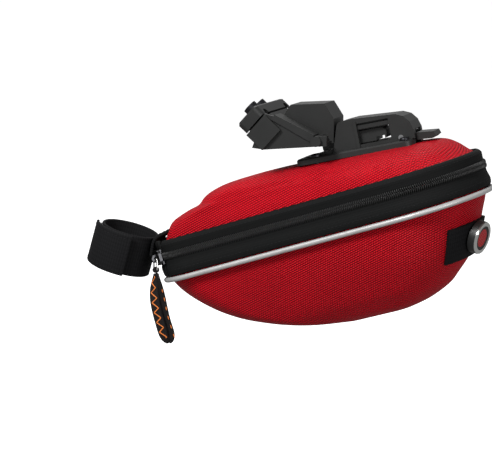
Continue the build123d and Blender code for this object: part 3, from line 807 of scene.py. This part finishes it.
# %% Repeats along a path, in Geometry Nodes
def repeat_group():
    """Group: a mesh line of places -> resampled -> one small shape on each -> finish."""
    tree = bpy.data.node_groups.new("repeat_along_path", "GeometryNodeTree")
    face = tree.interface
    face.new_socket("Geometry", in_out="INPUT", socket_type="NodeSocketGeometry")
    for label, value in (("Spacing", 0.0012), ("Width", 0.0007), ("Height", 0.0016), ("Depth", 0.0008)):
        face.new_socket(label, in_out="INPUT", socket_type="NodeSocketFloat").default_value = value
    face.new_socket("Slant", in_out="INPUT", socket_type="NodeSocketFloat").default_value = 0.0
    face.new_socket("Finish", in_out="INPUT", socket_type="NodeSocketMaterial")
    face.new_socket("Geometry", in_out="OUTPUT", socket_type="NodeSocketGeometry")

    def add(kind, **settings):
        made = tree.nodes.new(kind)
        for key, value in settings.items():
            setattr(made, key, value)
        return made

    join = tree.links.new
    start, end = add("NodeGroupInput"), add("NodeGroupOutput")
    to_curve = add("GeometryNodeMeshToCurve")
    spaced = add("GeometryNodeResampleCurve", mode="LENGTH")
    shape = add("GeometryNodeMeshUVSphere")
    shape.inputs["Segments"].default_value = 8
    shape.inputs["Rings"].default_value = 5
    size = add("ShaderNodeCombineXYZ")
    aim = add("FunctionNodeAxesToRotation", primary_axis="X", secondary_axis="Z")
    tilt = add("FunctionNodeRotateRotation", rotation_space="LOCAL")
    lean = add("FunctionNodeAxisAngleToRotation")
    tangent, outward = add("GeometryNodeInputTangent"), add("GeometryNodeInputNamedAttribute")
    outward.data_type = "FLOAT_VECTOR"
    outward.inputs["Name"].default_value = "outward"
    place = add("GeometryNodeInstanceOnPoints")
    solid, look = add("GeometryNodeRealizeInstances"), add("GeometryNodeSetMaterial")
    join(start.outputs["Geometry"], to_curve.inputs[0])
    join(to_curve.outputs[0], spaced.inputs["Curve"])
    join(start.outputs["Spacing"], spaced.inputs["Length"])
    join(spaced.outputs[0], place.inputs["Points"])
    join(shape.outputs[0], place.inputs["Instance"])
    for axis, label in zip("XYZ", ("Width", "Height", "Depth")):
        join(start.outputs[label], size.inputs[axis])
    join(size.outputs[0], place.inputs["Scale"])
    join(tangent.outputs[0], aim.inputs["Primary Axis"])
    join(outward.outputs[0], aim.inputs["Secondary Axis"])
    lean.inputs["Axis"].default_value = (0, 0, 1)
    join(start.outputs["Slant"], lean.inputs["Angle"])
    join(aim.outputs[0], tilt.inputs[0])
    join(lean.outputs[0], tilt.inputs[1])
    join(tilt.outputs[0], place.inputs["Rotation"])
    join(place.outputs[0], solid.inputs[0])
    join(solid.outputs[0], look.inputs["Geometry"])
    join(start.outputs["Finish"], look.inputs["Material"])
    join(look.outputs[0], end.inputs[0])
    return tree


REPEAT = repeat_group()
SOCKETS = {i.name: i.identifier for i in REPEAT.interface.items_tree if i.in_out == "INPUT"}


def repeats(name, path, outward, look, body, spacing, size, slant=0.0):
    """A row of small shapes along a path, as one plain mesh."""
    mesh = bpy.data.meshes.new(name + "_path")
    mesh.from_pydata([tuple(p) for p in path], [(i, i + 1) for i in range(len(path) - 1)], [])
    store = mesh.attributes.new("outward", "FLOAT_VECTOR", "POINT")
    store.data.foreach_set("vector", np.asarray(outward, float).ravel())
    guide = bpy.data.objects.new(name + "_path", mesh)
    scene.collection.objects.link(guide)
    nodes = guide.modifiers.new("repeat", "NODES")
    nodes.node_group = REPEAT
    values = {"Spacing": spacing, "Width": size[0], "Height": size[1], "Depth": size[2]}
    values["Slant"] = slant
    for label, value in values.items():
        nodes[SOCKETS[label]] = value * (1.0 if label == "Slant" else MM)
    nodes[SOCKETS["Finish"]] = LOOKS[look]
    seen = guide.evaluated_get(bpy.context.evaluated_depsgraph_get())
    plain = bpy.data.meshes.new_from_object(seen)
    bpy.data.objects.remove(guide)
    plain.name = name
    plain.polygons.foreach_set("use_smooth", [True] * len(plain.polygons))
    made = bpy.data.objects.new(name, plain)
    scene.collection.objects.link(made)
    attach(made, body)
    print(name, len(plain.polygons), "faces")
    return made


def along_band(out, height, start, stop, gap=1.0):
    """Path at an offset from the band's ring, open at the nose, with its outward directions."""
    loop, normal = ring_path(finer(egg(0, 201, 24, 44.5), gap), start, stop)
    spots = np.column_stack([loop + normal * out, np.full(len(loop), height)])
    flat = np.column_stack([normal, np.zeros(len(loop))])
    return to_row(spots), flat @ np.array(BAG.to_3x3()).T


# %% Zip coil and stitches
TICK = (0.36, 1.5, 0.75)
path, outward = along_band(0.45, 0.9, 15, 180)
upper_coil = repeats("coil_upper", path, outward, "coil", "bag", 1.15, TICK, 0.12)
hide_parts("upper_zip_coil")
path, outward = along_band(0.45, -0.95, 46, 180)
lower_coil = repeats("coil_lower", path, outward, "coil", "lower_shell", 1.15, TICK, -0.12)
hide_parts("lower_zip_coil")
SEAMS = (
    ("tape_stitch_top", 0.26, 6.6, 46, "bag", "zip_tape"),
    ("tape_stitch_low", 1.0, -9.0, 47, "lower_shell", "zip_tape"),
)
for name, out, height, start, body, slot in SEAMS:
    path, outward = along_band(out, height, start, 180)
    repeats(name, path, outward, "black_thread", body, 2.6, (1.0, 0.22, 0.16))


print("seams", len(SEAMS), "coil faces", len(upper_coil.data.polygons) + len(lower_coil.data.polygons))

# %% [markdown]
# The seatpost strap is 25 mm webbing closed on itself with hook and loop. The ring, the two
# facing patches and the tail are separate layers, each swept round the post. Straight strips
# bent by a modifier would do too, but a sweep keeps each layer's true distance to the next.


# %% Seatpost strap
LOOP_R = mounts["seatpost_loop"]["dims"]["r_mm"]  # inside of the strap
STRAP_WIDE, PATCH_WIDE = 25, 23
PATCH_ARC, TAIL_ARC = (200, 285), (196, 292)      # plan angles round the post, degrees


def arc_path(radius, start, stop, count=90):
    """Arc round the post, in row-frame metres."""
    turns = np.radians(np.linspace(start, stop, count))
    flat = np.column_stack([radius * np.cos(turns), radius * np.sin(turns), np.zeros(count)])
    return to_row(flat, POST)


def strap_layer(name, radius, thick, wide, start, stop, look, node, slot):
    """One layer of the strap; a full turn is closed."""
    closed = stop - start >= 360
    path = arc_path(radius, start, stop, 121)
    path = path[:-1] if closed else path
    side = np.tile(np.array(post_up), (len(path), 1))
    made = sweep(name, path, side, flat_section(wide, thick), look, closed)
    return put(made, "bag", node)


ring_r, tail_r = LOOP_R + 1.05, LOOP_R + 4.55
strap_layer("strap_ring", ring_r, 1.94, STRAP_WIDE, 0, 360, "webbing", "seatpost_strap", "webbing")
for name, node, patch_r in (
    ("loop_patch", "strap_loop_patch", LOOP_R + 2.45), ("hook_patch", "strap_hook_patch", LOOP_R + 3.25),
):
    strap_layer(name, patch_r, 0.8, PATCH_WIDE, *PATCH_ARC, "fuzz", node, "hook_loop")
strap_layer("strap_end", tail_r, 1.75, STRAP_WIDE, *TAIL_ARC, "webbing", "strap_tail", "webbing")
for side in (-1, 1):
    edge = arc_path(tail_r + 0.95, TAIL_ARC[0] + 2, TAIL_ARC[1] - 2)
    shift = np.array(post_up) * side * 10.2 * MM
    outward = unit(edge - np.array(POST.translation))
    name = "strap_stitch_" + ("low" if side < 0 else "high")
    size = (1.1, 0.25, 0.18)
    repeats(name, edge + shift, outward, "black_thread", "bag", 2.8, size)


print("strap inner radius", LOOP_R, "mm, outside of the tail", tail_r + 0.9, "mm")

# %% [markdown]
# The tab is a short strip that bends down from the lid's nose to the strap, with a row of
# stitches along each edge. Six points give its route, and the strap's sweep makes it.

# %% Nose tab
TAB = [(10.5, 17.7), (5.0, 14.9), (0.2, 12.3), (-2.2, 9.2), (-3.1, 5.2), (-3.8, 0.7)]
nose = np.array((-66.0, 0.0, -82.5))
tab_route = smooth_rows(TAB, 40)
tab_path = np.column_stack([tab_route[:, 0], np.zeros(40), tab_route[:, 1]]) + nose
tab_side = np.tile((0.0, 1.0, 0.0), (40, 1))
tab = sweep("nose_tab", tab_path * MM, tab_side, flat_section(20, 2.2), "webbing")
put(tab, "bag", "strap_tab")
away = np.cross(unit(np.gradient(tab_path, axis=0)), tab_side)
away = away * np.sign(away @ (-1.0, 0.0, 0.6))[:, None]
for side in (-7.6, 7.6):
    row = (tab_path + tab_side * side + away * 1.12) * MM
    name = "tab_stitch_" + ("left" if side < 0 else "right")
    repeats(name, row[3:36], away[3:36], "black_thread", "bag", 2.6, (1.0, 0.25, 0.18))


print("tab points", len(tab_path))

# %% [markdown]
# Behind, a strip of webbing lies over the lower shell to take a lamp. It follows the moulded
# cloth exactly, so it is cut out of the shell's own surface and thickened outwards.


# %% Light loop
def skin_strip(name, levels, high, low, from_u, thick, look):
    """Strip of the shell's surface between two heights, thickened outwards."""
    grid, out = shell_surface(levels, 90)
    pick = [k for k in range(grid.shape[1]) if grid[0, k, 0] > from_u]
    levels_h = np.linspace(high, low, 9)
    front, behind, uv = [], [], []
    for k in pick:
        h = grid[:, k, 2][::-1]
        for at in levels_h:
            spot = [np.interp(at, h, grid[:, k, c][::-1]) for c in range(3)]
            away = unit(np.array([np.interp(at, h, out[:, k, c][::-1]) for c in range(3)]))
            front.append(spot + away * thick)
            behind.append(spot + away * 0.02)
    front, behind = np.array(front), np.array(behind)
    rows, size = len(pick), len(levels_h)
    run = np.linalg.norm(np.diff(front.reshape(rows, size, 3)[:, 4], axis=0), axis=1)
    run = np.concatenate([[0], np.cumsum(run)])
    for _ in range(2):
        uv += [(run[i] * MM, (high - at) * MM) for i in range(rows) for at in levels_h]
    faces, half = [], rows * size
    for i in range(rows - 1):
        for k in range(size - 1):
            a, b = i * size + k, (i + 1) * size + k
            faces.append((a, a + 1, b + 1, b))
            faces.append((half + a, half + b, half + b + 1, half + a + 1))
        for k in (0, size - 1):
            a, b = i * size + k, (i + 1) * size + k
            faces.append((a, b, half + b, half + a))
    for i in (0, rows - 1):
        for k in range(size - 1):
            a = i * size + k
            faces.append((a, a + 1, half + a + 1, half + a))
    return turn_out(piece(name, to_row(np.vstack([front, behind])), faces, look, uv))


loop = skin_strip("lamp_loop", LOWER, -28.5, -46.5, 183, 2.0, "webbing")
put(crease(loop), "lower_shell", "light_loop")
print("light loop faces", len(loop.data.polygons))

# %% [markdown]
# Inside, a net pocket is sewn under the lid, an elastic holds tools in the lower shell and a
# strip of cloth bridges the hinge at the nose. Each follows the lining, so rays sent out from
# the middle of the bag find the lining and the cloth is laid on the spots that they hit.


# %% Net pocket, elastic and hinge cloth
def lay_inside(name, lining, starts, aims, thick, look):
    """Closed sheet on a lining; starts and aims are grids in the bag's axes."""
    rows, size, _ = starts.shape
    turn = np.array(BAG.to_3x3())
    near, far, uv = [], [], []
    for start, aim in zip(starts.reshape(-1, 3), aims.reshape(-1, 3)):
        origin, way = to_row(start), turn @ unit(aim)
        hit, spot, _, _ = lining.ray_cast(Vector(origin), Vector(way))
        spot = np.array(spot) if hit else origin + way * 0.01
        far.append(spot - way * 0.0001)
        near.append(spot - way * (thick * MM + 0.0001))
    points = np.vstack([near, far])
    half = rows * size
    grid = np.array(near).reshape(rows, size, 3)
    run = np.cumsum(np.linalg.norm(np.diff(grid[:, size // 2], axis=0), axis=1))
    wide = np.cumsum(np.linalg.norm(np.diff(grid[rows // 2], axis=0), axis=1))
    run, wide = np.concatenate([[0], run]), np.concatenate([[0], wide])
    for _ in range(2):
        uv += [(run[i], wide[k]) for i in range(rows) for k in range(size)]
    faces = []
    for i in range(rows - 1):
        for k in range(size - 1):
            a, b = i * size + k, (i + 1) * size + k
            faces += [(a, a + 1, b + 1, b), (half + a, half + b, half + b + 1, half + a + 1)]
    border = [k for k in range(size - 1)] + [i * size + size - 1 for i in range(rows - 1)]
    border += [(rows - 1) * size + k for k in range(size - 1, 0, -1)]
    border += [i * size for i in range(rows - 1, 0, -1)]
    for a, b in zip(border, border[1:] + border[:1]):
        faces.append((a, b, half + b, half + a))
    made = turn_out(piece(name, points, faces, look, uv))
    return crease(made), (float(wide[-1]), float(run[-1]))


def cast_grid(us, vs, start, aim):
    """Grids of ray starts and directions from two ranges."""
    starts = np.array([[start(u, v) for v in vs] for u in us], float)
    return starts, np.array([[aim(u, v) for v in vs] for u in us], float)


lid_inside, shell_inside = bpy.data.objects["lid_inside"], bpy.data.objects["shell_inside"]
span, cross = np.linspace(44, 98, 28), np.linspace(-24, 24, 26)
grids = cast_grid(span, cross, lambda u, v: (u, v, 0), lambda u, v: (0, 0, 1))
pocket, pocket_flat = lay_inside("net_pocket", lid_inside, *grids, 0.7, "net")
put(pocket, "bag", "lid_pocket")
turns = np.radians(np.linspace(4, 176, 60))
grids = cast_grid(
    np.linspace(120, 138, 8), turns, lambda u, v: (u, 0, -22),
    lambda u, v: (0, math.cos(v), -math.sin(v)),
)
elastic, elastic_flat = lay_inside("tool_band", shell_inside, *grids, 0.9, "elastic")
put(elastic, "lower_shell", "tool_elastic")
turns = np.radians(np.linspace(-24, 24, 14))
grids = cast_grid(
    np.linspace(-15.5, -0.5, 8), turns, lambda h, v: (24, 0, h),
    lambda h, v: (-math.cos(v), math.sin(v), 0),
)
hinge, hinge_flat = lay_inside("hinge_cloth", shell_inside, *grids, 0.7, "lining")
put(hinge, "lower_shell", "nose_hinge")
for made, flat in ((pocket, pocket_flat), (elastic, elastic_flat), (hinge, hinge_flat)):
    print(made.name, [round(side * 1000, 1) for side in flat], "mm")

# %% [markdown]
# The pull is a flat woven lace through a wire link, folded into a loop that hangs limp. Its
# route is a curve whose points are the places it passes, and the ribbon is swept along it.
# The orange zigzag is a thread of its own on the front strand.

# %% Pull lace
swing = joints["pull_swing"]
pivot, along = Vector(swing["pos_m"]), Vector(swing["axis"]).normalized()
down = Vector((0, 0, -1))
down = (down - along * down.dot(along)).normalized()
out = down.cross(along)
out = -out if out.x > 0 else out
FACE = 1.0 if along.x > 0 else -1.0  # the loop twists round to face outwards as it hangs
ROUTE = [
    (-2.0, 0.0, 0.0), (-2.6, 0.9, -8.0), (-3.0, 0.8, -18.0), (-2.6, -0.6, -29.0),
    (-2.9, -3.2, -40.0), (2.9, -3.4, -40.5), (2.5, -1.0, -29.5), (3.0, 0.4, -18.5),
    (2.6, 0.7, -8.5), (2.0, 0.0, 0.0),
]
LINK_DROP, LACE_START = 6.5, 8.65    # below the pivot: the link's lower bar, the lace's end
WRAP_R = 1.25
top = pivot + down * LACE_START * MM
print("lace control points", len(ROUTE))

# %% Route of the lace
curve = bpy.data.curves.new("lace_route", "CURVE")
curve.dimensions = "3D"
curve.resolution_u = 12
spline = curve.splines.new("NURBS")
spline.points.add(len(ROUTE) - 1)
for point, (a, o, z) in zip(spline.points, ROUTE):
    twist = min(1.0, -z / 16)
    across = along.lerp(Vector((FACE * 0.95, FACE * 0.1, 0)), twist).normalized()
    lean = Vector((-0.11 * z, FACE * math.copysign(1.3, a) * twist, z))
    spread = 1 - 0.38 * twist + 0.06 * max(0.0, (-z - 18) / 22)
    place = top + (across * a * spread + out * o + lean) * MM
    point.co = (*place, 1.0)
spline.order_u = 3
spline.use_endpoint_u = True
guide = bpy.data.objects.new("lace_route", curve)
scene.collection.objects.link(guide)
line = bpy.data.meshes.new_from_object(
    guide.evaluated_get(bpy.context.evaluated_depsgraph_get())
)
lace_path = np.array([tuple(v.co) for v in line.vertices])
bpy.data.objects.remove(guide)
lace_length = float(np.linalg.norm(np.diff(lace_path, axis=0), axis=1).sum())
run = np.concatenate([[0], np.cumsum(np.linalg.norm(np.diff(lace_path, axis=0), axis=1))])
print("lace", round(lace_length * 1000, 1), "mm, points", len(lace_path))

# %% Ribbon
share = run / run[-1]
narrow = 1 - 0.36 * np.exp(-(((share - 0.5) / 0.05) ** 2))
narrow *= 1 - 0.35 * np.exp(-((np.minimum(share, 1 - share) / 0.05) ** 2))
twists = np.clip((lace_path[0, 2] - lace_path[:, 2]) / 0.016, 0, 1)[:, None]
facing_side = np.array(along) * (1 - twists) + np.array((FACE * 0.95, FACE * 0.1, 0)) * twists
lace_side = unit(facing_side)
bend = np.exp(-(((share - 0.5) / 0.04) ** 2))[:, None]
facing_side = facing_side * (1 - bend) + np.array(Vector((0, 0, 1)).cross(along)) * bend
lace = sweep(
    "pull_lace_ribbon", lace_path, facing_side, flat_section(5.8, 1.2), "lace", scale=narrow
)
put(lace, "pull", "pull_lace")
print("ribbon faces", len(lace.data.polygons))

# %% [markdown]
# The orange thread runs in a zigzag on the front strand; on the back one only short stitches
# show at the edge. Both lie on the ribbon, so their paths are the ribbon's own, moved outwards.

# %% Orange thread and wrap
def on_lace(name, start, stop, wave, pitch, off, radius=0.3):
    """Thread that swings across one strand, on the side away from the bag."""
    at = np.linspace(start, stop, int((stop - start) * lace_length * 1000 * 3)) * run[-1]
    spots = np.column_stack([np.interp(at, run, lace_path[:, k]) for k in range(3)])
    swingy = 2 / math.pi * np.arcsin(np.sin(2 * math.pi * at / (pitch * MM))) * wave + off
    across = np.column_stack([np.interp(at, run, lace_side[:, k]) for k in range(3)])
    away = unit(np.cross(across, (0, 0, 1.0)))
    away = away * np.sign(-away[:, 1:2])
    spots = spots + across * swingy[:, None] * MM + away * 0.75 * MM
    side = away
    made = sweep(name, spots, side, round_section(radius, 8), "orange_thread")
    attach(made, "pull")
    return made


turns = np.linspace(0, 2 * math.pi, 33)[:-1]
wrap = [down * math.cos(t) * WRAP_R + out * math.sin(t) * WRAP_R for t in turns]
wrap = np.array([tuple(pivot + (down * LINK_DROP + spot) * MM) for spot in wrap])
wrap_side = np.tile(np.array(along), (len(turns), 1))
wrap = sweep("lace_wrap", wrap, wrap_side, flat_section(3.6, 1.1), "lace", True)
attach(wrap, "pull")
zigzag = on_lace("orange_zigzag", 0.54, 0.98, 1.7, 6.0, 0.0)
keep = (share > 0.12) & (share < 0.46)
edge = lace_path[keep] + lace_side[keep] * FACE * 2.2 * MM + np.array((0, -0.75, 0)) * MM
front = np.tile((0.0, -1.0, 0.0), (len(edge), 1))
dashes = repeats("orange_dashes", edge, front, "orange_thread", "pull", 5.2, (1.3, 0.32, 0.3))

# %% [markdown]
# The hard parts keep their CAD meshes: a two-bolt clamp on the rails, the bracket's tongue,
# the sliding housing and its thumb lever, and the die-cast slider. They only need the look of
# what they are made of.

# %% Plastic and metal
HARDWARE = {
    "plastic": ("rail_bracket", "clamp_plate", "mount_housing", "base_plate", "release_lever",
                "backing_plate", "reflector_base"),
    "black_steel": ("clamp_bolts", "clamp_nuts", "plate_screws"),
    "steel": ("screw_nuts", "lever_pin", "lever_spring", "zip_stops", "reflector_rivet"),
    "slider": ("slider_body", "slider_bridge"),
    "bright": ("pull_ring", "reflector_ring"),
    "lens": ("reflector_lens",),
}
for look, names in HARDWARE.items():
    for name in names:
        node = frame["nodes"][name]
        node.data.materials.clear()
        node.data.materials.append(LOOKS[look])


print("hardware nodes", sum(len(names) for names in HARDWARE.values()))

# %% [markdown]
# The stage is a plain pale bowl all round. One big soft light stands above and to the left, a
# weaker one to the right, and a third behind, so that no side of the bag is lost in the dark.

# %% Stage
cove = [(0.0, -0.24), (4.5, -0.24), (5.2, -0.1), (5.7, 0.3), (6.0, 1.0), (6.0, 5.0)]
turns = np.radians(np.arange(0, 360, 5))
rows = [(r * math.cos(a), r * math.sin(a), z) for r, z in cove for a in turns]
size = len(turns)
faces = [
    (i * size + k, i * size + (k + 1) % size, (i + 1) * size + (k + 1) % size, (i + 1) * size + k)
    for i in range(len(cove) - 1) for k in range(size)
]
stage_look = Finish("pale_backdrop")
grain = stage_look.noise(stage_look.coords("Object"), 0.2)
stage_look.set(Base_Color=stage_look.blend(grain, rgb(0.93, 0.93, 0.93), rgb(0.95, 0.95, 0.95)))
stage_look.set(Emission_Color=rgb(1, 1, 1), Emission_Strength=0.7)
LOOKS["stage"] = stage_look.set(Roughness=0.9).material
floor = turn_out(piece("backdrop", rows, faces, "stage"))
floor.visible_diffuse = floor.visible_glossy = False
print("backdrop faces", len(floor.data.polygons))

# %% Lights
def soft_light(name, place, size, power):
    """Area light aimed at the bag."""
    lamp = bpy.data.lights.new(name, "AREA")
    lamp.shape, lamp.size, lamp.energy = "DISK", size, power
    made = bpy.data.objects.new(name, lamp)
    scene.collection.objects.link(made)
    made.location = place
    made.rotation_mode = "QUATERNION"
    made.rotation_quaternion = (target - Vector(place)).to_track_quat("-Z", "Y")


soft_light("key_light", (-0.5, -1.15, 1.1), 0.5, 30)
soft_light("fill_light", (1.3, -1.2, 0.4), 0.9, 11)
soft_light("back_light", (-0.3, 1.0, 1.2), 0.9, 8)
world = bpy.data.worlds.new("studio")
world.use_nodes = True
world.node_tree.nodes["Background"].inputs[0].default_value = (1, 1, 1, 1)
world.node_tree.nodes["Background"].inputs[1].default_value = 0.3
scene.world = world
scene.view_settings.view_transform = "Standard"
